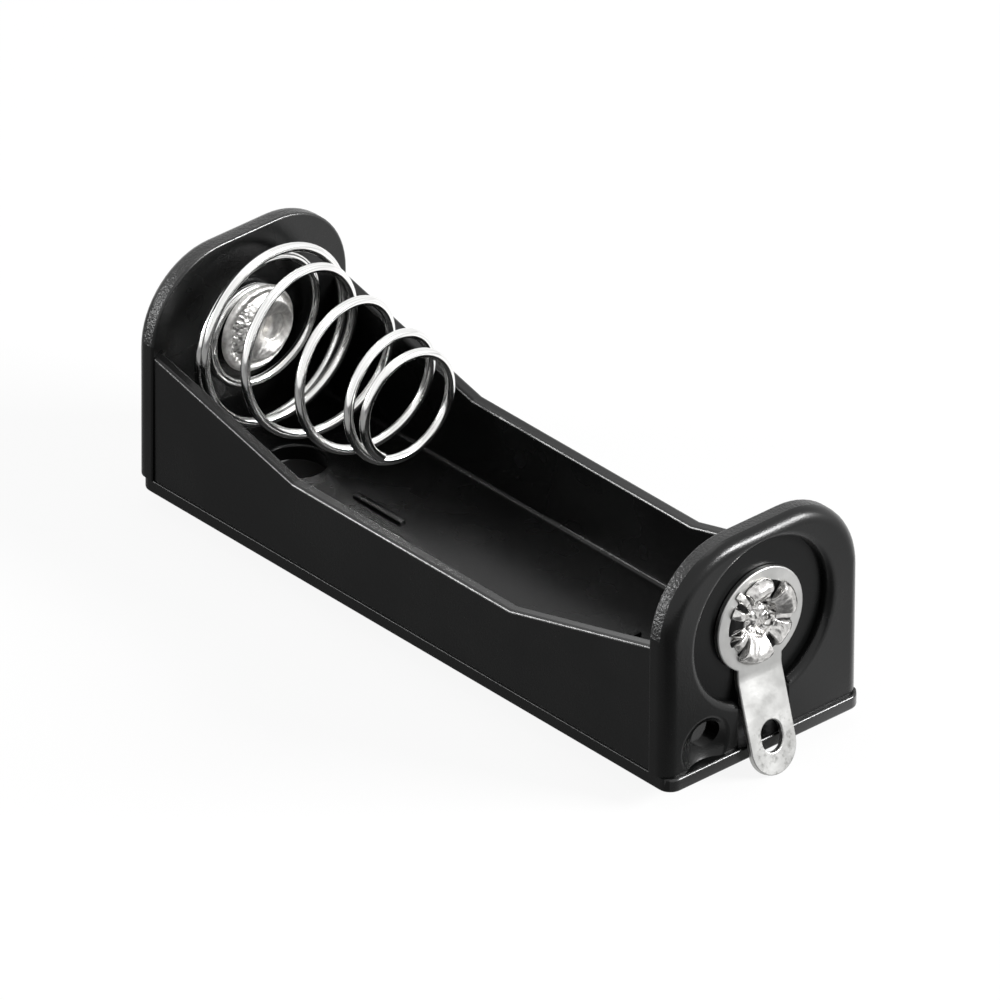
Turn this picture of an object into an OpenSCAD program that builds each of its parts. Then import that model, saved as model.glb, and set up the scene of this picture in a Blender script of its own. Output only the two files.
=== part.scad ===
// Holder for one N-size cell: a moulded tray with a conical spring contact at one end
// and a flat rivet contact at the other, each riveted through its end plate to a solder lug.
// X runs along the cell from the spring end to the flat contact, Y across it, Z up.
// The origin is on the underside of the base, midway between the two end plates.

/* [Cell bay] */
// Diameter of the cell that the tray takes
cell_d = 12; // [11:0.1:13]
// Room between the cell and each side wall
cell_clearance = 0.1; // [0.05:0.05:0.4]
// Length between the inner faces of the end plates
bay_l = 39.5; // [36:0.1:44]

/* [Base and walls] */
// Thickness of each side wall
wall_t = 0.75; // [0.6:0.05:1.2]
// Thickness of the floor of the bay
floor_t = 0.95; // [0.8:0.05:1.6]
// Height of the base plate that shows below the walls and as the end lip
base_h = 0.8; // [0.4:0.05:0.9]
// Amount by which the base stands out from each side wall
base_ledge = 0.1; // [0.05:0.05:0.4]
// Radius of the base's corners, seen from above
base_corner_r = 0.8; // [0.4:0.1:2]
// Amount by which the base stands out as a lip at the flat contact's end
lip_l = 0.25; // [0.1:0.05:1]
// Amount by which the base stops short of the plate at the spring's end
spring_end_inset = 0.3; // [0.1:0.05:0.6]
// Height of the side walls in the middle
wall_low_h = 5.65; // [4:0.1:7]
// Height of the side walls where they meet the end plates
wall_high_h = 8.5; // [7.2:0.1:10]
// Length of the slope in each wall's top, from the end plate inwards
wall_slope_l = 11.1; // [8:0.1:14]
// Radius of the fillet where the floor meets the walls
floor_fillet_r = 0.3; // [0.1:0.05:0.6]

/* [End plates] */
// Height of the end plates
plate_h = 13.65; // [12.8:0.1:16]
// Radius of the upper corners of the end plates
plate_corner_r = 5; // [3:0.1:5.5]
// Amount by which the end plates stand out from the side walls
plate_ledge = 0.15; // [0.05:0.05:0.4]
// Radius of the rounded outer edge of the end plates
plate_edge_r = 0.85; // [0.4:0.05:1]
// Thickness of the end plate behind the spring
spring_plate_t = 1.4; // [1.2:0.05:2]
// Thickness of the end plate behind the flat contact
contact_plate_t = 1.4; // [1.2:0.05:2.4]
// Thickness that is left behind the round recess in each end plate
web_t = 0.75; // [0.6:0.05:1]
// Radius of the round recess in the outer face of each end plate
recess_r = 4.75; // [4:0.05:5]
// Radius of the rounded rim of the deeper recess
recess_rim_r = 0.5; // [0.1:0.05:0.6]

/* [Screw holes] */
// Diameter of the two screw holes in the floor
screw_hole_d = 3.4; // [2.4:0.1:4]
// Distance between the two screw holes
screw_spacing = 32; // [26:0.5:33]

/* [Wire hole] */
// Diameter of the wire hole beside the flat contact
wire_hole_d = 1.7; // [1.2:0.1:2]
// Diameter of the flared mouth of the wire hole
wire_mouth_d = 3.3; // [2.6:0.1:3.6]
// Depth of the flared mouth
wire_mouth_depth = 0.7; // [0.3:0.05:0.9]
// Distance from the middle of the tray to the wire hole
wire_hole_offset = 3.75; // [3.4:0.05:4]
// Amount by which the mouth lies further out than the hole
wire_mouth_shift = 0.4; // [0:0.05:0.8]
// Amount by which the mouth lies lower than the hole
wire_mouth_drop = 0.35; // [0:0.05:0.6]
// Height of the wire hole above the underside of the base
wire_hole_h = 2.25; // [2.2:0.05:3]

/* [Rivets] */
// Height of the rivets above the underside of the base
contact_h = 7.9; // [7.2:0.1:8.4]
// Diameter of the rivet's shank
rivet_shank_d = 2.4; // [1.8:0.1:2.8]
// Room between the rivet's shank and the holes that it passes through
rivet_clearance = 0.05; // [0.02:0.01:0.15]
// Diameter of the rivet's head inside the bay
rivet_head_d = 5; // [4:0.1:6]
// Height of the rivet's head
rivet_head_h = 0.45; // [0.3:0.05:0.8]
// Thickness of the rivet's head at its edge
rivet_head_edge = 0.2; // [0.1:0.05:0.25]
// Diameter of the hollow in the rivet
rivet_hollow_d = 1.6; // [1:0.1:1.7]
// Depth of the hollow in the rivet's head
rivet_dimple_depth = 0.5; // [0.2:0.05:0.6]
// Diameter of the dish in the rivets' heads, where they are highest
rivet_dish_d = 4; // [3:0.1:4.4]
// Depth of the dish at the edge of the hollow
rivet_dish_depth = 0.3; // [0.1:0.05:0.35]
// Number of petals that the rivet's tail is split into
petal_count = 6; // [4:1:8]
// Reach of the petals from the rivet's middle
petal_reach = 2.5; // [1.9:0.05:2.8]
// Width of each petal
petal_w = 1.25; // [0.8:0.05:1.4]
// Height of the rolled petals above the lug
petal_h = 0.6; // [0.3:0.05:0.9]
// Height of the petals' tips above the lug
petal_tip_h = 0.2; // [0.1:0.05:0.25]

/* [Solder lugs] */
// Thickness of the lugs
lug_t = 0.35; // [0.2:0.05:0.5]
// Diameter of the lug's round head
lug_head_d = 6.1; // [5.4:0.1:8]
// Width of the lug's tail
lug_tail_w = 3.15; // [2.6:0.05:3.6]
// Distance from the rivet to the middle of the lug's round tip, before it is bent
lug_tail_l = 7.1; // [6:0.05:9]
// Distance from the rivet to the bend
lug_bend_at = 3.05; // [2.8:0.05:4]
// Radius on the inside of the bend
lug_bend_r = 1.5; // [0.1:0.1:3]
// Room between the lug's tail and the edge of the base that it passes
lug_clearance = 0.2; // [0.05:0.05:0.4]
// Width of the eye for the wire
lug_eye_w = 1.45; // [1:0.05:1.8]
// Length of the eye for the wire
lug_eye_l = 1.8; // [1.8:0.05:2.4]
// Distance from the middle of the tip to the middle of the eye
lug_eye_back = 0.6; // [0:0.05:1]
// Room on each side of the lug's tail in its channel
channel_clearance = 0.15; // [0.05:0.05:0.3]

/* [Spring] */
// Diameter of the spring's wire
spring_wire_d = 0.55; // [0.3:0.05:0.6]
// Radius of the widest turn, to the middle of the wire
spring_base_r = 5.2; // [4.6:0.05:5.4]
// Radius of the last turn at the spring's tip, to the middle of the wire
spring_tip_r = 3.05; // [2.6:0.05:4]
// Distance from the end plate to the middle of the wire at the widest turn
spring_base_x = 1.7; // [1.5:0.1:2.4]
// Distance from the end plate to the middle of the wire at the tip
spring_tip_x = 12.65; // [9:0.05:14]
// Turns between the widest turn and the closed turn at the tip
spring_turns = 4.2; // [3:0.1:6]
// Turns of the spiral from the rivet out to the widest turn
spring_spiral_turns = 1.85; // [1.6:0.05:2.4]
// Upward tilt of the free spring in degrees
spring_tilt = 2.5; // [0:0.5:4]

/* [Hidden] */
$fn = 48;

// Steps of the plate's rounded edge and the lug's bend, and sides and steps of the spring's wire
edge_steps = 6;
bend_steps = 6;
wire_sides = 10;
steps_per_turn = 30;
// Overlap of joined shapes, and reach of cuts past the faces that they open
sink = 0.1;
past = 1;

bay_w = cell_d + 2 * cell_clearance;
wall_y = bay_w / 2 + wall_t;
plate_w = 2 * (wall_y + plate_ledge);
base_w = 2 * (wall_y + base_ledge);
plate_x = bay_l / 2;
spring_face_x = plate_x + spring_plate_t;
contact_face_x = plate_x + contact_plate_t;
base_start_x = -(spring_face_x - spring_end_inset);
base_end_x = contact_face_x + lip_l;
seat_x = plate_x + web_t;
rivet_bore_d = rivet_shank_d + 2 * rivet_clearance;
channel_w = lug_tail_w + 2 * channel_clearance;

// Drop from the lug's bend to the top of the base, and the bend that clears an edge there
lug_drop = contact_h - lug_bend_at - base_h;
function bend_past(out) =
    let (
        sharp = atan((out + lug_clearance) / lug_drop),
        lost = (lug_t + lug_bend_r) * (1 / cos(sharp) - 1)
    )
    atan((out + lug_clearance + lost) / lug_drop);
contact_bend = bend_past(base_end_x - seat_x);
spring_bend = bend_past(spring_face_x - seat_x);

// Spring: turns are counted from the widest turn, where the wire crosses the +Y side
loop_r = rivet_bore_d / 2 + spring_wire_d / 2 + rivet_clearance;
loop_x = spring_wire_d / 2;
loop_turns = 0.9;
spiral_end = -0.35;
spiral_start = spiral_end - spring_spiral_turns;
first_turn = spiral_start - loop_turns;
// Turn of the spiral at which the wire has passed the edge of the rivet's head
head_passed = spiral_start + spring_spiral_turns
    * (rivet_head_d / 2 + spring_wire_d - loop_r) / (spring_base_r - loop_r);
rise_start = 0.05;
rise_end = rise_start + spring_turns;
last_turn = rise_end + 0.4;
rise_blend = 0.31;
spiral_blend = 0.1;
wire_steps = round((last_turn - first_turn) * steps_per_turn);

// Part of a rise from 0 to 1 that starts and ends level and is straight between
function ramp(s, b) =
    s <= 0 ? 0 :
    s >= 1 ? 1 :
    s < b ? s * s / (2 * b * (1 - b)) :
    s > 1 - b ? 1 - (1 - s) * (1 - s) / (2 * b * (1 - b)) :
    (s - b / 2) / (1 - b);
function share(t, from, to) = min(1, max(0, (t - from) / (to - from)));
function turn_r(t) =
    loop_r + (spring_base_r - loop_r) * ramp(share(t, spiral_start, spiral_end), spiral_blend)
    + (spring_tip_r - spring_base_r) * share(t, rise_start, rise_end);
function turn_x(t) =
    loop_x + (spring_base_x - loop_x) * ramp(share(t, head_passed, spiral_end), rise_blend)
    + (spring_tip_x - spring_base_x) * ramp(share(t, rise_start, rise_end), rise_blend);
function wire_point(t) = [
    turn_x(t) - plate_x,
    turn_r(t) * cos(360 * t),
    turn_r(t) * sin(360 * t) + contact_h + tan(spring_tilt) * (turn_x(t) - loop_x),
];
function unit(v) = v / norm(v);
function wire_ring(t) =
    let (
        step = 0.002,
        along = unit(wire_point(t + step) - wire_point(t - step)),
        radial = [0, cos(360 * t), sin(360 * t)],
        side = unit(radial - along * (radial * along)),
        up = cross(along, side)
    )
    [for (k = [0 : wire_sides - 1])
        wire_point(t) + spring_wire_d / 2
            * (side * cos(360 * k / wire_sides) + up * sin(360 * k / wire_sides))];

// Puts a shape drawn flat at the origin onto an end plate, its Y up and its Z outwards
module on_plate(x, spring_end = false) {
    rotate([0, 0, spring_end ? 180 : 0])
        translate([x, 0, 0])
            rotate([90, 0, 90])
                children();
}

// Outline of an end plate above the base: straight sides and two round upper corners
module plate_outline(inset) {
    half = plate_w / 2 - inset;
    r = plate_corner_r - inset;
    translate([-half, base_h])
        square([2 * half, plate_h - base_h - plate_corner_r]);
    for (side = [-1, 1])
        translate([side * (half - r), plate_h - plate_corner_r])
            circle(r, $fn = 64);
    translate([-(half - r), plate_h - plate_corner_r])
        square([2 * (half - r), r]);
}

module end_plate(thickness) {
    slice = 0.01;
    hull() {
        linear_extrude(thickness - plate_edge_r)
            plate_outline(0);
        for (i = [1 : edge_steps]) {
            turn = 90 * i / edge_steps;
            translate([0, 0, thickness - plate_edge_r + plate_edge_r * sin(turn) - slice])
                linear_extrude(slice)
                    plate_outline(plate_edge_r * (1 - cos(turn)));
        }
    }
}

module base_plate() {
    r = base_corner_r;
    linear_extrude(base_h)
        hull()
            for (x = [base_start_x + r, base_end_x - r], y = [r - base_w / 2, base_w / 2 - r])
                translate([x, y])
                    circle(r, $fn = 32);
}

// Section of the bay: floor and two walls, with a fillet in each inner corner
module bay_section() {
    difference() {
        translate([-wall_y, 0])
            square([2 * wall_y, wall_high_h]);
        translate([-bay_w / 2, floor_t + floor_fillet_r])
            square([bay_w, wall_high_h]);
        translate([floor_fillet_r - bay_w / 2, floor_t])
            square([bay_w - 2 * floor_fillet_r, wall_high_h]);
        for (side = [-1, 1])
            translate([side * (bay_w / 2 - floor_fillet_r), floor_t + floor_fillet_r])
                circle(floor_fillet_r);
    }
}

// What is cut off above the walls: low in the middle, sloping up to the end plates
module wall_cut() {
    rotate([90, 0, 0])
        linear_extrude(plate_w + 2 * past, center = true)
            polygon([
                [-plate_x, wall_high_h],
                [wall_slope_l - plate_x, wall_low_h],
                [plate_x - wall_slope_l, wall_low_h],
                [plate_x, wall_high_h],
                [plate_x, plate_h],
                [-plate_x, plate_h],
            ]);
}

module bay() {
    difference() {
        translate([-plate_x - sink, 0, 0])
            rotate([90, 0, 90])
                linear_extrude(bay_l + 2 * sink)
                    bay_section();
        wall_cut();
    }
}

// Round recess for a lug's head, open upwards from the seat, with its rim rounded
module recess_cut(depth, rim_r) {
    rotate_extrude()
        difference() {
            union() {
                square([recess_r, depth + past]);
                translate([0, depth - rim_r])
                    square([recess_r + rim_r, rim_r + past]);
            }
            translate([recess_r + rim_r, depth - rim_r])
                circle(rim_r);
        }
}

// Recess, channel for the lug's tail and hole for the rivet, drawn from the seat outwards
module lug_seat_cut(depth, rim_r) {
    translate([0, contact_h, 0]) {
        recess_cut(depth, rim_r);
        translate([0, 0, -web_t - past])
            cylinder(d = rivet_bore_d, h = web_t + 2 * past);
    }
    translate([-channel_w / 2, base_h, 0])
        cube([channel_w, contact_h - base_h, depth + past]);
}

// Hole for a lead, with a round dish beside it that leads the wire in and stops at the lip
module wire_hole_cut() {
    dish_r = (pow(wire_mouth_d / 2, 2) + pow(wire_mouth_depth, 2)) / (2 * wire_mouth_depth);
    translate([-wire_hole_offset, wire_hole_h, 0]) {
        translate([0, 0, -past])
            cylinder(d = wire_hole_d, h = contact_plate_t + 2 * past);
        intersection() {
            translate([-wire_mouth_shift, -wire_mouth_drop, contact_plate_t - wire_mouth_depth])
                rotate_extrude()
                    intersection() {
                        square([wire_mouth_d, wire_mouth_depth + sink]);
                        translate([0, dish_r])
                            circle(dish_r);
                    }
            translate([-2 * wire_mouth_d, base_h - wire_hole_h, 0])
                cube(4 * wire_mouth_d);
        }
    }
}

module tray() {
    color([0.09, 0.09, 0.09])
        difference() {
            union() {
                base_plate();
                bay();
                on_plate(plate_x)
                    end_plate(contact_plate_t);
                on_plate(plate_x, spring_end = true)
                    end_plate(spring_plate_t);
            }
            on_plate(seat_x)
                lug_seat_cut(contact_plate_t - web_t, recess_rim_r);
            on_plate(seat_x, spring_end = true)
                lug_seat_cut(spring_plate_t - web_t, min(recess_rim_r, (spring_plate_t - web_t) / 2));
            on_plate(plate_x)
                wire_hole_cut();
            for (side = [-1, 1])
                translate([side * screw_spacing / 2, 0, -past])
                    cylinder(d = screw_hole_d, h = floor_t + 2 * past);
        }
}

// Rivet's domed head before it is dished, drawn below z = 0
module rivet_head() {
    dome_h = rivet_head_h - rivet_head_edge;
    dome_r = (pow(rivet_head_d / 2, 2) + dome_h * dome_h) / (2 * dome_h);
    rotate_extrude()
        intersection() {
            translate([0, -rivet_head_h])
                square([rivet_head_d / 2, rivet_head_h]);
            translate([0, dome_r - rivet_head_h])
                circle(dome_r, $fn = 360);
        }
}

// Rivet's tail, split by the tool and rolled out over the lug as a star of petals
module rivet_star() {
    roll_mid = (petal_reach + rivet_hollow_d / 2) / 2;
    roll_h = petal_h - petal_tip_h;
    roll_r = (pow(petal_reach - roll_mid, 2) + roll_h * roll_h) / (2 * roll_h);
    intersection() {
        rotate_extrude()
            intersection() {
                square([petal_reach + past, petal_h + past]);
                translate([roll_mid, petal_h - roll_r])
                    circle(roll_r);
            }
        linear_extrude(petal_h) {
            circle(d = rivet_shank_d);
            for (i = [0 : petal_count - 1])
                rotate(360 * (i + 0.5) / petal_count) {
                    translate([0, -petal_w / 2])
                        square([petal_reach - petal_w / 2, petal_w]);
                    translate([petal_reach - petal_w / 2, 0])
                        circle(d = petal_w);
                }
        }
    }
}

// Hollow rivet drawn on its axis, its grip from z = 0 outwards
module rivet(grip) {
    color([0.78, 0.77, 0.74])
        difference() {
            union() {
                rivet_head();
                cylinder(d = rivet_shank_d, h = grip);
                translate([0, 0, grip])
                    rivet_star();
            }
            translate([0, 0, -rivet_head_h - past])
                cylinder(d = rivet_hollow_d, h = rivet_dimple_depth + past);
            translate([0, 0, -rivet_head_h])
                cylinder(d1 = rivet_dish_d, d2 = rivet_hollow_d, h = rivet_dish_depth);
            translate([0, 0, grip - rivet_dimple_depth])
                cylinder(d = rivet_hollow_d, h = petal_h + rivet_dimple_depth + past);
        }
}

module contact_rivet() {
    on_plate(plate_x)
        translate([0, contact_h, 0])
            rivet(web_t + lug_t);
}

// The spring's inner loop is held between the end plate and this rivet's head
module spring_rivet() {
    on_plate(plate_x, spring_end = true)
        translate([0, contact_h, -spring_wire_d])
            rivet(spring_wire_d + web_t + lug_t);
}

// Side of the lug's sheet from the rivet's axis round the bend to the tip: Y along it, X outwards
module lug_side(bend) {
    bend_x = lug_t + lug_bend_r;
    tail = lug_tail_l + lug_tail_w / 2 - lug_bend_at;
    function on_bend(r, turn, run) = [
        bend_x - r * cos(turn) + run * sin(turn),
        -lug_bend_at - r * sin(turn) - run * cos(turn),
    ];
    polygon(concat(
        [[0, 0]],
        [for (i = [0 : bend_steps]) on_bend(bend_x, bend * i / bend_steps, 0)],
        [on_bend(bend_x, bend, tail), on_bend(lug_bend_r, bend, tail)],
        [for (i = [bend_steps : -1 : 0]) on_bend(lug_bend_r, bend * i / bend_steps, 0)],
        [[lug_t, 0]]
    ));
}

// What is cut from the flat tail: the corners beside its round tip, and the eye for the wire
module lug_tail_cut() {
    eye_straight = lug_eye_l - lug_eye_w;
    difference() {
        translate([-lug_tail_w, -lug_tail_w])
            square([2 * lug_tail_w, lug_tail_w]);
        circle(d = lug_tail_w);
    }
    translate([0, lug_eye_back]) {
        for (side = [-1, 1])
            translate([0, side * eye_straight / 2])
                circle(d = lug_eye_w);
        square([lug_eye_w, eye_straight], center = true);
    }
}

// Stamped lug, flat on its seat at z = 0, with its tail bent outwards
module lug(bend) {
    color([0.83, 0.82, 0.78])
        difference() {
            union() {
                cylinder(d = lug_head_d, h = lug_t);
                translate([lug_tail_w / 2, 0, 0])
                    rotate([0, -90, 0])
                        linear_extrude(lug_tail_w)
                            lug_side(bend);
            }
            translate([0, 0, -past])
                cylinder(d = rivet_bore_d, h = lug_t + 2 * past);
            translate([0, -lug_bend_at, lug_t + lug_bend_r])
                rotate([-bend, 0, 0])
                    translate([0, lug_bend_at - lug_tail_l, -lug_t - lug_bend_r - past])
                        linear_extrude(lug_t + 2 * past)
                            lug_tail_cut();
        }
}

module contact_lug() {
    on_plate(seat_x)
        translate([0, contact_h, 0])
            lug(contact_bend);
}

module spring_lug() {
    on_plate(seat_x, spring_end = true)
        translate([0, contact_h, 0])
            lug(spring_bend);
}

// Conical spring: a loop under the rivet's head, a spiral outwards, then rising turns
module contact_spring() {
    rings = [for (i = [0 : wire_steps])
        wire_ring(first_turn + (last_turn - first_turn) * i / wire_steps)];
    sides = [for (i = [0 : wire_steps - 1], k = [0 : wire_sides - 1])
        let (next = (k + 1) % wire_sides)
        [i * wire_sides + k, (i + 1) * wire_sides + k,
            (i + 1) * wire_sides + next, i * wire_sides + next]];
    color([0.75, 0.75, 0.75])
        polyhedron(
            points = [for (ring = rings) each ring],
            faces = concat(
                [[for (k = [0 : wire_sides - 1]) k]],
                sides,
                [[for (k = [wire_sides - 1 : -1 : 0]) wire_steps * wire_sides + k]]
            )
        );
}

tray();
contact_spring();
spring_rivet();
spring_lug();
contact_rivet();
contact_lug();
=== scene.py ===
"""Looks of a one-cell battery holder: moulded tray, conical spring, hollow rivets and solder lugs."""

import math

import bmesh
import bpy
from mathutils import Matrix, Vector, noise


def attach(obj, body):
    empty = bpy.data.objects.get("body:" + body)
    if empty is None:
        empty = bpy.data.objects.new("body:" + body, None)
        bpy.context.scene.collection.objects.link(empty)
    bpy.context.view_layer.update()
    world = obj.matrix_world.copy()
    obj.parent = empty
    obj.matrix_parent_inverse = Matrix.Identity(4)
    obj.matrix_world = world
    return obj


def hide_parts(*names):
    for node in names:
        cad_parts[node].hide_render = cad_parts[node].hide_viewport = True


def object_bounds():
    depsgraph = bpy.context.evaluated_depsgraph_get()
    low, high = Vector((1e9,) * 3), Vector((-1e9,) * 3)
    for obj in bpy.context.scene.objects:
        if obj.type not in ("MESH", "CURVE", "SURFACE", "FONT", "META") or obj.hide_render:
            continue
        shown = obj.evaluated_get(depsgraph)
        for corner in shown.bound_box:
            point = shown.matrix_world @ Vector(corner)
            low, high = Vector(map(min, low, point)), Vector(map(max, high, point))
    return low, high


MM = 0.001

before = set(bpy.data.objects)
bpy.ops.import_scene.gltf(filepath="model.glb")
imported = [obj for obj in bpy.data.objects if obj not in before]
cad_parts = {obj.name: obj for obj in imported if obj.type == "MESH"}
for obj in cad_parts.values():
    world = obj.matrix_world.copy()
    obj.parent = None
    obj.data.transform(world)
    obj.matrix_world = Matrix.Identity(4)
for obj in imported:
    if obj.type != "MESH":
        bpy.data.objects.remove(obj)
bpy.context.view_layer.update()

# Sizes of the part in millimetres, as in its source
PLATE_X = 19.75
PLATE_FACE_X = 21.15
FLOOR_TOP = 0.95
BASE_TOP = 0.8
WALL_BEND_X = -8.65
CONTACT_H = 7.9
WEB_T = 0.75
LUG_T = 0.35
WIRE_D = 0.55
RIVET_SHANK_R = 1.2
RIVET_HOLLOW_R = 0.8
RIVET_HEAD_R = 2.5
RIVET_HEAD_H = 0.45
WIRE_HOLE = (-3.75, 2.25)


# Shader nodes

def new_finish(name):
    """A material with its node tree and its main shader."""
    material = bpy.data.materials.new(name)
    material.use_nodes = True
    tree = material.node_tree
    return material, tree, tree.nodes["Principled BSDF"]


def add_node(tree, kind, inputs=None, **settings):
    """A shader node with its settings and plain input values."""
    made = tree.nodes.new(kind)
    for key, value in settings.items():
        setattr(made, key, value)
    for key, value in (inputs or {}).items():
        made.inputs[key].default_value = value
    return made


def add_math(tree, operation, *terms):
    """The result of a sum, product or the like of linked values."""
    made = add_node(tree, "ShaderNodeMath", operation=operation)
    for term, socket in zip(terms, made.inputs):
        tree.links.new(term, socket)
    return made.outputs[0]


def add_noise(tree, coords, scale, detail=2.0, rough=0.5):
    """A noise value at the given coordinates."""
    made = add_node(tree, "ShaderNodeTexNoise", {"Scale": scale, "Detail": detail, "Roughness": rough})
    tree.links.new(coords, made.inputs["Vector"])
    return made.outputs["Fac"]


def add_range(tree, value, low, high, from_low=0.3, from_high=0.7):
    """A value spread over a range. Without limits it is taken to be noise."""
    made = add_node(tree, "ShaderNodeMapRange",
                    {"From Min": from_low, "From Max": from_high, "To Min": low, "To Max": high})
    tree.links.new(value, made.inputs["Value"])
    return made.outputs["Result"]


def add_tint(tree, value, dark, light, low=0.35, high=0.65):
    """A colour between two, by a noise value."""
    made = add_node(tree, "ShaderNodeValToRGB")
    made.color_ramp.elements[0].position = low
    made.color_ramp.elements[0].color = (*dark, 1)
    made.color_ramp.elements[1].position = high
    made.color_ramp.elements[1].color = (*light, 1)
    tree.links.new(value, made.inputs["Fac"])
    return made.outputs["Color"]


def add_stain_and_shade(tree, part, colour, stain_and_shade_colour):
    """A linked colour that gives way to a plain one by a part from 0 to 1, for stains and for painted
    shade.
    """
    made = add_node(tree, "ShaderNodeMix", data_type="RGBA")
    tree.links.new(part, made.inputs["Factor"])
    tree.links.new(colour, made.inputs["A"])
    made.inputs["B"].default_value = (*stain_and_shade_colour, 1)
    return made.outputs["Result"]


def add_bump(tree, height, distance, strength=1.0):
    """A normal from a height value."""
    made = add_node(tree, "ShaderNodeBump", {"Strength": strength, "Distance": distance})
    tree.links.new(height, made.inputs["Height"])
    return made.outputs["Normal"]


def add_attribute(tree, name):
    """A value that a mesh keeps under a name."""
    return add_node(tree, "ShaderNodeAttribute", attribute_name=name).outputs["Fac"]


def object_coords(tree):
    return add_node(tree, "ShaderNodeTexCoord").outputs["Object"]


def split_coords(tree, coords):
    """The X, Y and Z values of coordinates."""
    made = add_node(tree, "ShaderNodeSeparateXYZ")
    tree.links.new(coords, made.inputs["Vector"])
    return made.outputs


def black_moulding(name, gloss, smooth, rough, grain_scale, grain_height):
    """Black moulded plastic with a fine grain."""
    material, tree, shader = new_finish(name)
    shader.inputs["Specular IOR Level"].default_value = gloss
    coords = object_coords(tree)
    link = tree.links.new
    cloud = add_noise(tree, coords, 220, 3)
    grain = add_noise(tree, coords, grain_scale, 2)
    tint = add_tint(tree, cloud, (0.002, 0.0021, 0.0021), (0.0032, 0.0034, 0.0034))
    link(tint, shader.inputs["Base Color"])
    link(add_range(tree, cloud, smooth, rough), shader.inputs["Roughness"])
    link(add_bump(tree, grain, grain_height), shader.inputs["Normal"])
    return material


def nickel_wire():
    """Drawn, nickel-plated wire: bright, with fine lines along it."""
    material, tree, shader = new_finish("nickel_wire")
    link = tree.links.new
    shader.inputs["Metallic"].default_value = 1.0
    spot = add_node(tree, "ShaderNodeCombineXYZ")
    link(add_range(tree, add_attribute(tree, "wire_run"), 0.0, 30.0, 0.0, 1.0), spot.inputs["X"])
    link(add_range(tree, add_attribute(tree, "wire_round"), 0.0, 22.0, 0.0, 1.0), spot.inputs["Y"])
    lines = add_noise(tree, spot.outputs["Vector"], 1.0, 3, 0.6)
    cloud = add_noise(tree, object_coords(tree), 600, 3)
    link(add_tint(tree, lines, (0.8, 0.8, 0.79), (0.97, 0.97, 0.96)), shader.inputs["Base Color"])
    link(add_range(tree, cloud, 0.1, 0.17), shader.inputs["Roughness"])
    link(add_bump(tree, lines, 0.000008, 0.4), shader.inputs["Normal"])
    return material


def rivet_plate():
    """Plated rivet metal: bright at its split end, with painted shade in the gaps there, in its hollow and
    in spots on one side of its head, and satin on its head.
    """
    material, tree, shader = new_finish("rivet_plate")
    coords = object_coords(tree)
    link = tree.links.new
    shader.inputs["Metallic"].default_value = 1.0
    dents = add_noise(tree, coords, 2600, 3, 0.6)
    cloud = add_noise(tree, coords, 900, 2)
    tint = add_tint(tree, dents, (0.5, 0.49, 0.48), (0.78, 0.77, 0.75))
    # Painted shade: near black where the rivet is marked with painted shade
    tone = add_stain_and_shade(tree, add_attribute(tree, "painted_shade"), tint, (0.012, 0.012, 0.012))
    satin = add_range(tree, add_attribute(tree, "satin"), 0.0, 0.22, 0.0, 1.0)
    link(tone, shader.inputs["Base Color"])
    link(add_math(tree, "ADD", add_range(tree, cloud, 0.14, 0.26), satin), shader.inputs["Roughness"])
    link(add_bump(tree, dents, 0.00005, 0.5), shader.inputs["Normal"])
    return material


def tinned_lug():
    """Tin-plated sheet: pale and satin, mottled by solder round its eye."""
    material, tree, shader = new_finish("tinned_lug")
    coords = object_coords(tree)
    link = tree.links.new
    shader.inputs["Metallic"].default_value = 1.0
    cloud = add_noise(tree, coords, 450, 4, 0.6)
    grain = add_noise(tree, coords, 5200, 2)
    spots = add_noise(tree, coords, 2400, 3, 0.65)
    near_eye = add_range(tree, split_coords(tree, coords)["Z"], 1.0, 0.0, 1.4 * MM, 2.6 * MM)
    mottle = add_math(tree, "MULTIPLY", add_range(tree, spots, 0.0, 0.7, 0.52, 0.68), near_eye)
    tint = add_tint(tree, cloud, (0.48, 0.48, 0.47), (0.58, 0.58, 0.57))
    link(add_stain_and_shade(tree, mottle, tint, (0.2, 0.2, 0.19)), shader.inputs["Base Color"])
    link(add_range(tree, cloud, 0.28, 0.4), shader.inputs["Roughness"])
    link(add_bump(tree, grain, 0.00001, 0.4), shader.inputs["Normal"])
    return material


# Meshes

def new_piece(name, mesh, material):
    """An object at the origin with one finish and smooth shading."""
    made = bpy.data.objects.new(name, mesh)
    bpy.context.scene.collection.objects.link(made)
    mesh.materials.clear()
    mesh.materials.append(material)
    mesh.polygons.foreach_set("use_smooth", [True] * len(mesh.polygons))
    return made


def apply_modifiers(made):
    """Puts the result of a piece's modifiers in a mesh of its own."""
    bpy.context.view_layer.update()
    graph = bpy.context.evaluated_depsgraph_get()
    finished = bpy.data.meshes.new_from_object(made.evaluated_get(graph))
    made.modifiers.clear()
    made.data = finished


# Roundings of the edges and how near points are joined, in millimetres
TRAY_ROUNDING = 0.18
LUG_ROUNDING = 0.07
ROUNDING_STEPS = 3
SEAM = 0.003
SAME_POINT = 0.001
# Bends in degrees: the most between flat faces, and the least at a sharp edge
FLAT_BEND = 0.4
SHARP_BEND = 35


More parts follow.
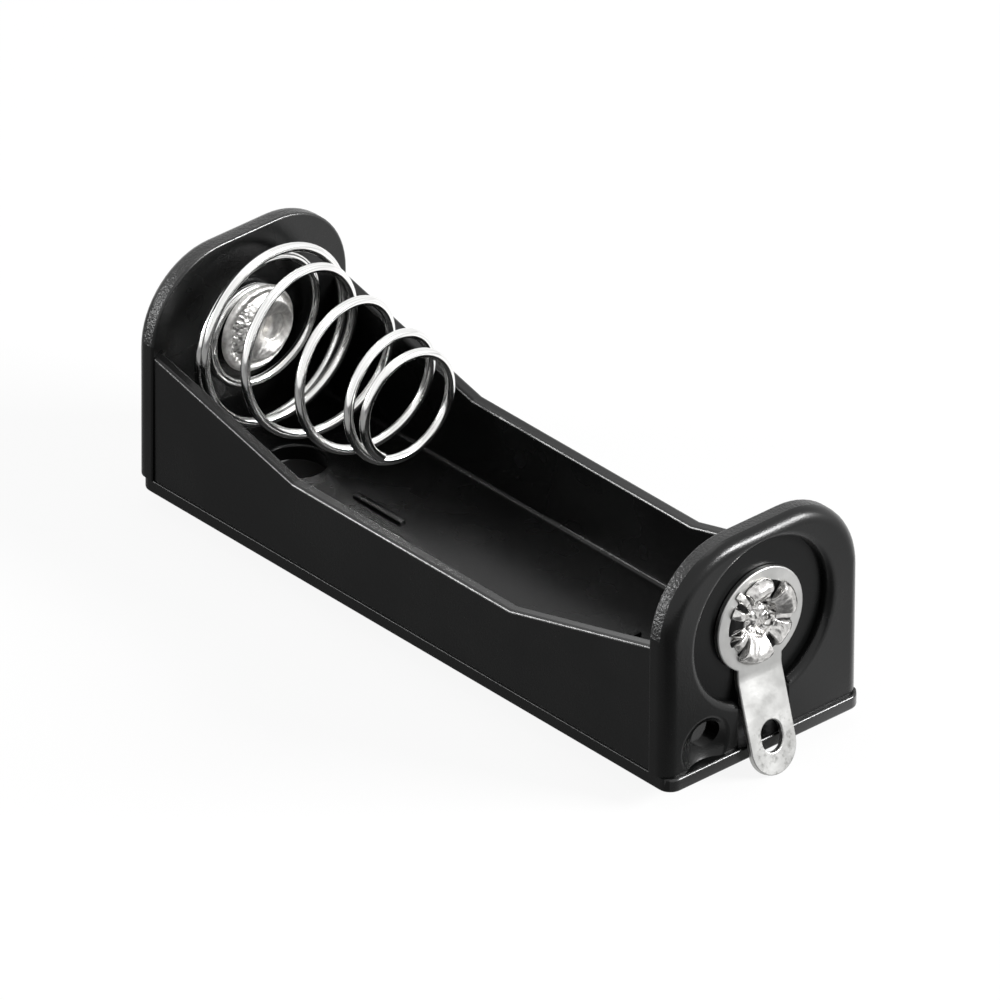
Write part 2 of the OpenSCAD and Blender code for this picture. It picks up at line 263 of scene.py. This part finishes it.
def rounded_copy(name, node, radius, material, part_of=None):
    """A copy of a CAD node with its sharp outer edges rounded, each by its part of the radius."""
    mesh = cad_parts[node].data.copy()
    mesh.name = name
    form = bmesh.new()
    form.from_mesh(mesh)
    bmesh.ops.remove_doubles(form, verts=form.verts, dist=SEAM * MM)
    bmesh.ops.dissolve_limit(form, angle_limit=math.radians(FLAT_BEND), verts=form.verts, edges=form.edges)
    weight = form.edges.layers.float.new("bevel_weight_edge")
    sharp = math.radians(SHARP_BEND)
    for edge in form.edges:
        if not edge.is_manifold:
            continue
        bend = edge.calc_face_angle_signed(0.0)
        edge.smooth = abs(bend) < sharp
        if bend > sharp:
            middle = 0.5 * (edge.verts[0].co + edge.verts[1].co)
            edge[weight] = 1.0 if part_of is None else part_of(middle / MM)
    form.to_mesh(mesh)
    form.free()
    made = new_piece(name, mesh, material)
    edges = made.modifiers.new("rounded_edges", "BEVEL")
    edges.width = radius * MM
    edges.segments = ROUNDING_STEPS
    edges.limit_method = "WEIGHT"
    edges.use_clamp_overlap = False
    edges.harden_normals = False
    edges.loop_slide = False
    edges.miter_outer = "MITER_ARC"
    joined = made.modifiers.new("joined_points", "WELD")
    joined.merge_threshold = SAME_POINT * MM
    flats = made.modifiers.new("flat_faces", "WEIGHTED_NORMAL")
    flats.keep_sharp = True
    apply_modifiers(made)
    return made


# Where the roundings and finishes of the tray change, in millimetres
HOLE_REACH = 1.0
NEAR = 0.1
FOOT_SIDE = 6.6
FOOT_END = 21.0
WALL_END = PLATE_X - 0.3
WALL_LOW = 2
WALL_SIDE = 6
LEDGE_SIDE = 6.8
RIM_LOW = 9
GRAIN_REACH = 5
# Parts of the full rounding on the base's ledge, and on the plates and the rest of the base
LEDGE_PART = 0.4
PLATE_PART = 0.67
# Numbers of the tray's finishes after its plain one
DULL, GRAINY, POLISHED = 1, 2, 3


def at_wire_hole(spot):
    """Whether a spot lies in the wire hole or at its rim."""
    return spot.x > PLATE_X and math.hypot(spot.y - WIRE_HOLE[0], spot.z - WIRE_HOLE[1]) < HOLE_REACH


def tray_edge(spot):
    """The part of the full rounding that the edge of the tray at a spot gets."""
    out = abs(spot.x)
    if at_wire_hole(spot):
        return 0.0
    if abs(spot.y) > FOOT_SIDE and out < FOOT_END and abs(spot.z - BASE_TOP) < NEAR:
        # The base's ledge is narrow beside the walls, and has no room beside the plates' feet
        return LEDGE_PART if out < PLATE_X - NEAR else 0.0
    on_wall = out < WALL_END and spot.z > WALL_LOW
    return 1.0 if on_wall else PLATE_PART


def is_polished_top(spot, normal):
    """Whether a face is on the near wall's top, the far wall's inner edge or the left plate's one."""
    if -PLATE_X - 0.2 < spot.x < 0.01 - PLATE_X and spot.z > RIM_LOW:
        return 0.2 < normal.x < 0.98
    if not WALL_BEND_X < spot.x < PLATE_X or abs(spot.y) < WALL_SIDE:
        return False
    if spot.z < WALL_LOW or normal.z < 0.1:
        return False
    return spot.y < 0 or normal.y < -0.2


def finish_tray(mesh, dull_finish, grainy_finish, polished_finish):
    """Gives the dull recesses, the plates' grainy edges and the polished tops and lip their finishes."""
    for finish in (dull_finish, grainy_finish, polished_finish):
        mesh.materials.append(finish)
    for face in mesh.polygons:
        out = abs(face.center.x) / MM
        lean = abs(face.normal.x)
        off = face.center - Vector((face.center.x, 0, CONTACT_H * MM))
        spot = face.center / MM
        in_recess = abs(out - PLATE_X - WEB_T) < 0.05 and lean > 0.99
        in_hole = at_wire_hole(spot) and lean < 0.1
        on_lip = spot.x > PLATE_FACE_X + 0.02 and spot.z < BASE_TOP + 0.01
        on_ledge = out < PLATE_X and abs(spot.y) > LEDGE_SIDE and abs(spot.z - BASE_TOP) < NEAR
        on_edge = out > PLATE_X and lean < 0.35 and face.normal.z > 0.1
        if in_recess or in_hole or on_ledge:
            face.material_index = DULL
        elif on_lip or is_polished_top(spot, face.normal):
            face.material_index = POLISHED
        elif on_edge and off.length > GRAIN_REACH * MM and off.z > 0:
            face.material_index = GRAINY


def ramp(s, b):
    """Part of a rise from 0 to 1 that starts and ends level over a share b and is straight between."""
    if s <= 0:
        return 0.0
    if s >= 1:
        return 1.0
    if s < b:
        return s * s / (2 * b * (1 - b))
    if s > 1 - b:
        return 1 - (1 - s) * (1 - s) / (2 * b * (1 - b))
    return (s - b / 2) / (1 - b)


def share(t, start, end):
    """How far t has come from start to end, from 0 to 1."""
    return min(1.0, max(0.0, (t - start) / (end - start)))


# Conical spring: a loop under the rivet's head, a spiral outwards, then rising turns.
# Radii and distances from the plate go to the middle of the wire, in millimetres
BASE_R = 5.2
TIP_R = 3.05
BASE_X = 1.7
TIP_X = 12.65
LOOP_INNER_R = 1.3
LOOP_R = LOOP_INNER_R + WIRE_D / 2
LOOP_X = WIRE_D / 2
# Places along the wire are counted in turns
LOOP_TURNS = 0.9
SPIRAL_TURNS = 1.85
RISE_TURNS = 4.2
CLOSED_TURNS = 0.4
SPIRAL_END = -0.35
SPIRAL_START = SPIRAL_END - SPIRAL_TURNS
FIRST_TURN = SPIRAL_START - LOOP_TURNS
HEAD_PASSED = SPIRAL_START + SPIRAL_TURNS * (RIVET_HEAD_R + WIRE_D - LOOP_R) / (BASE_R - LOOP_R)
RISE_START = 0.05
RISE_END = RISE_START + RISE_TURNS
LAST_TURN = RISE_END + CLOSED_TURNS
SPIRAL_BLEND = 0.1
RISE_BLEND = 0.31
TILT = math.tan(math.radians(2.5))
STEPS_PER_TURN = 72
WIRE_SIDES = 20


def wire_point(t):
    """Middle of the spring's wire at turn t, in metres."""
    r = LOOP_R + (BASE_R - LOOP_R) * ramp(share(t, SPIRAL_START, SPIRAL_END), SPIRAL_BLEND)
    r += (TIP_R - BASE_R) * share(t, RISE_START, RISE_END)
    x = LOOP_X + (BASE_X - LOOP_X) * ramp(share(t, HEAD_PASSED, SPIRAL_END), RISE_BLEND)
    x += (TIP_X - BASE_X) * ramp(share(t, RISE_START, RISE_END), RISE_BLEND)
    a = 2 * math.pi * t
    z = r * math.sin(a) + CONTACT_H + TILT * (x - LOOP_X)
    return Vector((x - PLATE_X, r * math.cos(a), z)) * MM


def wire_tree(material):
    """Geometry Nodes that sweep a round wire along a line of points."""
    tree = bpy.data.node_groups.new("wire_sweep", "GeometryNodeTree")
    face = tree.interface
    face.new_socket("Path", in_out="INPUT", socket_type="NodeSocketGeometry")
    radius = face.new_socket("Wire radius", in_out="INPUT", socket_type="NodeSocketFloat")
    sides = face.new_socket("Wire sides", in_out="INPUT", socket_type="NodeSocketInt")
    face.new_socket("Wire", in_out="OUTPUT", socket_type="NodeSocketGeometry")
    new, link = tree.nodes.new, tree.links.new

    def keep_place(curve, name):
        """Keeps the place along a curve under a name."""
        kept = new("GeometryNodeStoreNamedAttribute")
        kept.data_type = "FLOAT"
        kept.domain = "POINT"
        kept.inputs["Name"].default_value = name
        link(curve, kept.inputs["Geometry"])
        link(new("GeometryNodeSplineParameter").outputs["Factor"], kept.inputs["Value"])
        return kept.outputs["Geometry"]

    given = new("NodeGroupInput")
    path = new("GeometryNodeMeshToCurve")
    link(given.outputs["Path"], path.inputs["Mesh"])
    section = new("GeometryNodeCurvePrimitiveCircle")
    link(given.outputs["Wire radius"], section.inputs["Radius"])
    link(given.outputs["Wire sides"], section.inputs["Resolution"])
    sweep = new("GeometryNodeCurveToMesh")
    sweep.inputs["Fill Caps"].default_value = True
    link(keep_place(path.outputs["Curve"], "wire_run"), sweep.inputs["Curve"])
    link(keep_place(section.outputs["Curve"], "wire_round"), sweep.inputs["Profile Curve"])
    whole = new("GeometryNodeRealizeInstances")
    link(sweep.outputs["Mesh"], whole.inputs["Geometry"])
    paint = new("GeometryNodeSetMaterial")
    paint.inputs["Material"].default_value = material
    link(whole.outputs["Geometry"], paint.inputs["Geometry"])
    result = new("NodeGroupOutput")
    link(paint.outputs["Geometry"], result.inputs["Wire"])
    return tree, radius.identifier, sides.identifier


def spring_piece(name, material):
    """The spring's wire, swept along its turns."""
    turns = LAST_TURN - FIRST_TURN
    steps = round(turns * STEPS_PER_TURN)
    points = [wire_point(FIRST_TURN + turns * i / steps) for i in range(steps + 1)]
    mesh = bpy.data.meshes.new(name)
    mesh.from_pydata(points, [(i, i + 1) for i in range(steps)], [])
    made = bpy.data.objects.new(name, mesh)
    bpy.context.scene.collection.objects.link(made)
    tree, radius, sides = wire_tree(material)
    sweep = made.modifiers.new("wire_sweep", "NODES")
    sweep.node_group = tree
    sweep[radius] = WIRE_D / 2 * MM
    sweep[sides] = WIRE_SIDES
    apply_modifiers(made)
    made.data.polygons.foreach_set("use_smooth", [True] * len(made.data.polygons))
    return made


def smooth_line(points, steps):
    """Points on a smooth line through the given ones."""
    ends = [points[0], *points, points[-1]]
    line = []
    for i in range(len(points) - 1):
        a, b, c, d = (Vector(p) for p in ends[i:i + 4])
        for k in range(steps):
            t = k / steps
            line.append(0.5 * (2 * b + (c - a) * t + (2 * a - 5 * b + 4 * c - d) * t * t
                               + (3 * b - a - 3 * c + d) * t * t * t))
    line.append(Vector(points[-1]))
    return line


# Petals of the split and rolled rivet end: angle, half width in degrees, reach and height in millimetres
PETALS = [
    (97, 23, 2.45, 0.55),
    (128, 6, 2.70, 0.30),
    (150, 8, 2.35, 0.45),
    (190, 4, 2.00, 0.42),
    (214, 8, 2.10, 0.20),
    (258, 29, 2.55, 0.58),
    (318, 19, 2.45, 0.36),
    (346, 5, 2.30, 0.05),
    (22, 28, 2.45, 0.58),
]
# In the gaps the rolled end goes on as a thin sheet over the lug, which is painted dark as shade
GAP_REACH = 2.25
GAP_H = 0.03
FLARE_R = 1.1
# Unevenness of the rivet's surfaces: layers of noise, each of a height in millimetres and a scale
HOLLOW_BUMPS = ((0.09, 3.4), (0.06, 7.5))
PETAL_BUMPS = ((0.05, 1.7), (0.025, 4.5))
FACE_BUMPS = ((0.03, 1.6), (0.015, 4.5))
FACE_PITS = ((0.04, 5), (0.03, 9))
# Scales of the noise that paints shade in the hollow and in spots on the pitted side of the head
HOLLOW_SHADE_SCALE = 4.6
FACE_SHADE_SCALE = 5
# Points round the rivet, and steps between the points of its outlines
RIVET_SIDES = 360
END_STEPS = 5
HEAD_STEPS = 8
# Point of the shank's and head's outline at which the head's rim starts
RIM_POINT = 3


def petal_at(angle):
    """Reach and height of the rivet's rolled end at an angle in degrees, and its part in a gap, where it is
    painted dark as shade.
    """
    reach, height, painted_shade = GAP_REACH, GAP_H, 1.0
    for middle, half, petal_reach, petal_height in PETALS:
        off = abs((angle - middle + 180) % 360 - 180)
        w = min(1.0, max(0.0, (half + 2 - off) / 4))
        w = w * w * (3 - 2 * w)
        if w > 1 - painted_shade:
            crown = math.sqrt(max(0.0, 1 - (off / (half + 5)) ** 2))
            reach = GAP_REACH + (petal_reach * (0.92 + 0.08 * crown) - GAP_REACH) * w
            height = GAP_H + (petal_height * (0.65 + 0.35 * crown) - GAP_H) * w
            painted_shade = 1 - w
    return reach, height, painted_shade


def rolled_end(reach, height, grip):
    """Radii and heights of the rivet's rolled end, from the middle of its hollow out and back under."""
    crest = FLARE_R + 0.62 * (reach - FLARE_R)
    return [
        (0.02, grip - 0.12),
        (0.45, grip - 0.14),
        (0.8, grip - 0.3),
        (FLARE_R - 0.12, grip - 0.2),
        (FLARE_R, grip + 0.1 * height),
        (0.5 * (FLARE_R + crest), grip + 0.62 * height),
        (crest, grip + height),
        (crest + 0.6 * (reach - crest), grip + 0.82 * height),
        (reach, grip + 0.35 * height),
        (reach - 0.08, grip + 0.1 * height),
        (FLARE_R + 0.1, grip + 0.02),
    ]


def shank_and_head(grip):
    """Radii and heights from the rivet's shank round its head to the floor of the head's hollow."""
    return [
        (RIVET_SHANK_R, grip - 0.1),
        (RIVET_SHANK_R, 0.05),
        (RIVET_HEAD_R - 0.1, 0.0),
        (RIVET_HEAD_R, -0.08),
        (RIVET_HEAD_R - 0.04, -0.2),
        (RIVET_HEAD_R - 0.15, -0.28),
        (RIVET_HEAD_R - 0.3, -0.26),
        (RIVET_HEAD_R - 0.38, -0.19),
        (RIVET_HEAD_R - 0.5, -0.26),
        (RIVET_HEAD_R - 0.75, -0.42),
        (RIVET_HEAD_R - 0.95, -RIVET_HEAD_H),
        (RIVET_HOLLOW_R + 0.45, -0.4),
        (RIVET_HOLLOW_R + 0.15, -0.25),
        (RIVET_HOLLOW_R, -0.1),
        (RIVET_HOLLOW_R - 0.05, 0.0),
        (RIVET_HOLLOW_R - 0.07, 0.4),
        (RIVET_HOLLOW_R - 0.15, 0.46),
        (0.02, 0.48),
    ]


def bumps(spot, layers):
    """Unevenness at a spot from layers of noise."""
    return sum(height * noise.noise(spot * scale) for height, scale in layers)


def rivet_piece(name, start, outwards, grip, hollow_off, seed, material):
    """A hollow rivet: dished head inside, shank, and a split end rolled over the lug outside."""
    shift = Vector((seed * 7.3, seed * 3.1, 0))
    inner = smooth_line(shank_and_head(grip), HEAD_STEPS)
    form = bmesh.new()
    verts = []
    painted_shades = []
    satins = []
    for k in range(RIVET_SIDES):
        a = 2 * math.pi * k / RIVET_SIDES
        reach, height, painted_shade = petal_at(outwards * math.degrees(a))
        outer = smooth_line(rolled_end(reach, height, grip), END_STEPS)
        line = []
        for i, (r, h) in enumerate(outer + inner):
            y, z = r * math.cos(a), r * math.sin(a)
            on_end = i < len(outer)
            on_face = i >= len(outer) + RIM_POINT * HEAD_STEPS
            if on_face:
                # The head was set askew, so its hollow lies off the middle
                askew = 1 - share(r, RIVET_HOLLOW_R, RIVET_HEAD_R - 0.1)
                y += hollow_off[0] * askew
                z += hollow_off[1] * askew
            spot = Vector((y, z, h)) + shift
            push = 0.0
            dark = 0.0
            if on_end:
                # Painted shade: the thin sheet in the gaps between the petals is dark
                dark = painted_shade * share(r, FLARE_R, FLARE_R + 0.15)
                if r < FLARE_R and h > grip - 0.6:
                    push = bumps(spot, HOLLOW_BUMPS)
                    # Painted shade in the hollow, uneven by noise
                    dark = share(noise.noise(spot * HOLLOW_SHADE_SCALE), 0.12, 0.45)
                elif h > grip + 0.05:
                    push = bumps(spot, PETAL_BUMPS)
            elif on_face:
                # One side of the head's face is pitted, and painted darker in spots there as painted shade
                pitted = share(-y, 0.4, 0.9) * share(2.3 - math.hypot(y, z), 0.0, 0.25)
                push = bumps(spot, FACE_BUMPS) + pitted * bumps(spot, FACE_PITS)
                dark = 0.7 * pitted * share(noise.noise(spot * FACE_SHADE_SCALE + shift), 0.05, 0.4)
            painted_shades.append(dark)
            satins.append(0.0 if on_end else 1.0)
            line.append(form.verts.new(start + Vector((outwards * (h + push), y, z)) * MM))
        verts.append(line)
    for k in range(RIVET_SIDES):
        here, following = verts[k], verts[(k + 1) % RIVET_SIDES]
        for i in range(len(here) - 1):
            form.faces.new((here[i], here[i + 1], following[i + 1], following[i]))
    form.faces.new([line[0] for line in verts])
    form.faces.new([line[-1] for line in verts])
    bmesh.ops.recalc_face_normals(form, faces=form.faces)
    mesh = bpy.data.meshes.new(name)
    form.to_mesh(mesh)
    form.free()
    for mark, values in (("painted_shade", painted_shades), ("satin", satins)):
        mesh.attributes.new(mark, "FLOAT", "POINT").data.foreach_set("value", values)
    return new_piece(name, mesh, material)


# Polarity signs: distance from the middle of the bay, and the sizes of their bars in millimetres
SIGN_X = 9.3
SIGN_L = 3.8
SIGN_W = 0.5
SIGN_H = 0.3
SIGN_RISE = 0.05
SIGN_ROUNDING = 0.08


def sign_piece(name, x, bars, material):
    """A raised polarity sign on the bay's floor, made of rounded bars of a length and a width."""
    form = bmesh.new()
    spot = Matrix.Translation((x * MM, 0, (FLOOR_TOP + SIGN_RISE) * MM))
    for length, width in bars:
        made = bmesh.ops.create_cube(form, size=1.0)["verts"]
        size = Matrix.Diagonal((length * MM, width * MM, SIGN_H * MM, 1))
        bmesh.ops.transform(form, verts=made, matrix=spot @ size)
    bmesh.ops.bevel(form, geom=form.edges[:], offset=SIGN_ROUNDING * MM, segments=ROUNDING_STEPS,
                    profile=0.5, affect="EDGES")
    mesh = bpy.data.meshes.new(name)
    form.to_mesh(mesh)
    form.free()
    return new_piece(name, mesh, material)


moulding = black_moulding("black_moulding", gloss=0.34, smooth=0.22, rough=0.3,
                          grain_scale=10000, grain_height=0.000009)
recess_moulding = black_moulding("recess_moulding", gloss=0.15, smooth=0.2, rough=0.28,
                                 grain_scale=10000, grain_height=0.000008)
edge_moulding = black_moulding("edge_moulding", gloss=0.65, smooth=0.26, rough=0.36,
                               grain_scale=6500, grain_height=0.00009)
top_moulding = black_moulding("top_moulding", gloss=0.65, smooth=0.22, rough=0.3,
                              grain_scale=10000, grain_height=0.000009)
wire_finish = nickel_wire()
rivet_finish = rivet_plate()
lug_finish = tinned_lug()


def place(piece, slot, *nodes):
    """Ties a finished piece to the part and hides the nodes that it stands for. The finish slot is not
    used.
    """
    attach(piece, "root")
    if nodes:
        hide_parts(*nodes)


tray_moulding = rounded_copy("tray_moulding", "tray", TRAY_ROUNDING, moulding, tray_edge)
finish_tray(tray_moulding.data, recess_moulding, edge_moulding, top_moulding)
place(tray_moulding, "tray_plastic", "tray")
place(spring_piece("spring_wire", wire_finish), "spring_wire", "contact_spring")

grip_plus = WEB_T + LUG_T
grip_minus = WIRE_D + WEB_T + LUG_T
positive_start = Vector((PLATE_X, 0, CONTACT_H)) * MM
negative_start = Vector((WIRE_D - PLATE_X, 0, CONTACT_H)) * MM
positive_rivet = rivet_piece("positive_rivet", positive_start, outwards=1, grip=grip_plus,
                             hollow_off=(-0.25, 0.1), seed=1, material=rivet_finish)
place(positive_rivet, "rivet_metal", "contact_rivet")
negative_rivet = rivet_piece("negative_rivet", negative_start, outwards=-1, grip=grip_minus,
                             hollow_off=(1.15, -0.35), seed=2, material=rivet_finish)
place(negative_rivet, "rivet_metal", "spring_rivet")

place(rounded_copy("positive_lug", "contact_lug", LUG_ROUNDING, lug_finish), "lug_metal", "contact_lug")
place(rounded_copy("negative_lug", "spring_lug", LUG_ROUNDING, lug_finish), "lug_metal", "spring_lug")

along_bar = (SIGN_L, SIGN_W)
across_bar = (SIGN_W, SIGN_L)
place(sign_piece("minus_sign", -SIGN_X, [along_bar], moulding), "tray_plastic")
place(sign_piece("plus_sign", SIGN_X, [along_bar, across_bar], moulding), "tray_plastic")


# Floor, light and camera

# Half size of the floor in metres, and its share of white
FLOOR_HALF = 3.0
FLOOR_WHITE = 0.9
# Half length and half width of the floor's unlit patch and its soft edge, in millimetres
UNLIT_HALF = {"X": 19.6, "Y": 5.5}
UNLIT_EDGE = 0.8


def mirrored_floor(tree, spot):
    """How brightly the floor glows in mirrors, a painted reflection on the part: dim before the part, dark
    before its end and bright behind it.
    """
    behind = add_node(tree, "ShaderNodeMapRange", {"From Min": 0.0, "From Max": 8 * MM, "To Max": 0.95})
    tree.links.new(spot["Y"], behind.inputs["Value"])
    tree.links.new(add_range(tree, spot["X"], 0.22, 0.03, 24 * MM, 33 * MM), behind.inputs["To Min"])
    # A narrow strip just before the end glows in mirrors only, a painted light that shows as a painted
    # reflection in the lip of the base
    strip_along = add_range(tree, spot["X"], 0.5, 0.0, 22.8 * MM, 23.6 * MM)
    strip_across = add_range(tree, spot["Y"], 0.0, 1.0, -6.6 * MM, -5.6 * MM)
    mirror_glow = add_math(tree, "MULTIPLY_ADD", strip_along, strip_across, behind.outputs["Result"])
    return add_math(tree, "MULTIPLY", mirror_glow, add_range(tree, spot["Y"], 1.0, 0.75, 10 * MM, 20 * MM))


def clear_of_part(tree, spot):
    """1 on the open floor, and 0 under the part, where it only has the light that reaches it."""
    sides = []
    for axis, half in UNLIT_HALF.items():
        far = add_math(tree, "ABSOLUTE", spot[axis])
        sides.append(add_range(tree, far, 0.0, 1.0, (half - UNLIT_EDGE) * MM, half * MM))
    return add_math(tree, "MAXIMUM", *sides)


def floor_piece():
    """A pale floor that shows white and keeps a soft shadow."""
    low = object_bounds()[0].z
    mesh = bpy.data.meshes.new("floor")
    corners = [(x * FLOOR_HALF, y * FLOOR_HALF, low) for x, y in ((-1, -1), (1, -1), (1, 1), (-1, 1))]
    mesh.from_pydata(corners, [], [(0, 1, 2, 3)])
    material, tree, shader = new_finish("pale_floor")
    link = tree.links.new
    shader.inputs["Base Color"].default_value = (0.1, 0.1, 0.1, 1)
    shader.inputs["Roughness"].default_value = 0.9
    shader.inputs["Specular IOR Level"].default_value = 0.0
    path = add_node(tree, "ShaderNodeLightPath").outputs
    spot = split_coords(tree, object_coords(tree))
    # In mirrors the floor glows as mirrored_floor paints it, which gives painted reflections on the part
    mirrored = add_math(tree, "MULTIPLY", path["Is Glossy Ray"], mirrored_floor(tree, spot))
    seen = add_math(tree, "MAXIMUM", path["Is Camera Ray"], mirrored)
    shown = add_math(tree, "MULTIPLY", seen, clear_of_part(tree, spot))
    level = add_node(tree, "ShaderNodeMath", {1: FLOOR_WHITE}, operation="MULTIPLY")
    link(shown, level.inputs[0])
    white = add_node(tree, "ShaderNodeEmission", {"Color": (1, 1, 1, 1)})
    link(level.outputs[0], white.inputs["Strength"])
    surface = add_node(tree, "ShaderNodeAddShader")
    link(shader.outputs["BSDF"], surface.inputs[0])
    link(white.outputs["Emission"], surface.inputs[1])
    link(surface.outputs["Shader"], tree.nodes["Material Output"].inputs["Surface"])
    made = new_piece("floor", mesh, material)


def world_light():
    """White where it is seen or mirrored, and a plain grey light otherwise."""
    world = bpy.data.worlds.new("studio")
    bpy.context.scene.world = world
    world.use_nodes = True
    tree = world.node_tree
    sky = tree.nodes["Background"]
    path = add_node(tree, "ShaderNodeLightPath").outputs
    direct = add_math(tree, "MAXIMUM", path["Is Camera Ray"], path["Is Glossy Ray"])
    seen = add_math(tree, "MAXIMUM", direct, path["Is Transmission Ray"])
    sky.inputs["Color"].default_value = (1, 1, 1, 1)
    level = add_node(tree, "ShaderNodeMapRange", {"To Min": 0.25, "To Max": 1.0})
    tree.links.new(seen, level.inputs["Value"])
    tree.links.new(level.outputs["Result"], sky.inputs["Strength"])


# Height above the base's underside that the soft boxes face, in millimetres
LIGHT_AIM_H = 5


def soft_box(name, towards, distance, size, watts):
    """A soft box in a direction from the part, facing it."""
    lamp = bpy.data.lights.new(name, "AREA")
    lamp.shape = "RECTANGLE"
    lamp.size, lamp.size_y = size
    lamp.energy = watts
    made = bpy.data.objects.new(name, lamp)
    out = Vector(towards).normalized()
    made.location = out * distance + Vector((0, 0, LIGHT_AIM_H * MM))
    made.rotation_euler = (-out).to_track_quat("-Z", "Y").to_euler()
    bpy.context.scene.collection.objects.link(made)


# Camera fitted to the photograph: azimuth, elevation and roll in degrees, the spot that it turns about and
# its shift to the right and up in millimetres, its distance in metres, and its lens and film in millimetres
CAMERA_TURN = (47.732, 31.291, 0.355)
CAMERA_SPOT = (-1.19, 0, 4)
CAMERA_RIGHT = 1.0315
CAMERA_UP = 1.0614
CAMERA_DISTANCE = 1.4803
CAMERA_LENS = 998.7
CAMERA_FILM = 36


def photo_camera():
    """Camera at the photograph's angle, far away with a long lens."""
    azimuth, elevation, roll = (math.radians(a) for a in CAMERA_TURN)
    back = Vector((math.sin(azimuth) * math.cos(elevation), -math.cos(azimuth) * math.cos(elevation),
                   math.sin(elevation)))
    level = Vector((math.cos(azimuth), math.sin(azimuth), 0))
    rise = back.cross(level)
    right = level * math.cos(roll) + rise * math.sin(roll)
    up = rise * math.cos(roll) - level * math.sin(roll)
    aim = (Vector(CAMERA_SPOT) + right * CAMERA_RIGHT + up * CAMERA_UP) * MM
    lens = bpy.data.cameras.new("camera")
    lens.lens = CAMERA_LENS
    lens.sensor_width = CAMERA_FILM
    lens.clip_start, lens.clip_end = 0.1, 20
    made = bpy.data.objects.new("camera", lens)
    turn = Matrix((right, up, back)).transposed().to_4x4()
    made.matrix_world = Matrix.Translation(aim + back * CAMERA_DISTANCE) @ turn
    bpy.context.scene.collection.objects.link(made)
    bpy.context.scene.camera = made


floor_piece()
world_light()
soft_box("key_box", towards=(0.73, 0.575, 0.37), distance=0.42, size=(0.2, 0.09), watts=2.9)
soft_box("left_box", towards=(-0.632, -0.737, 0.238), distance=0.42, size=(0.16, 0.08), watts=1.1)
soft_box("top_box", towards=(-0.1, 0.15, 1.0), distance=0.45, size=(0.25, 0.25), watts=0.3)
photo_camera()
bpy.context.scene.view_settings.view_transform = "Standard"
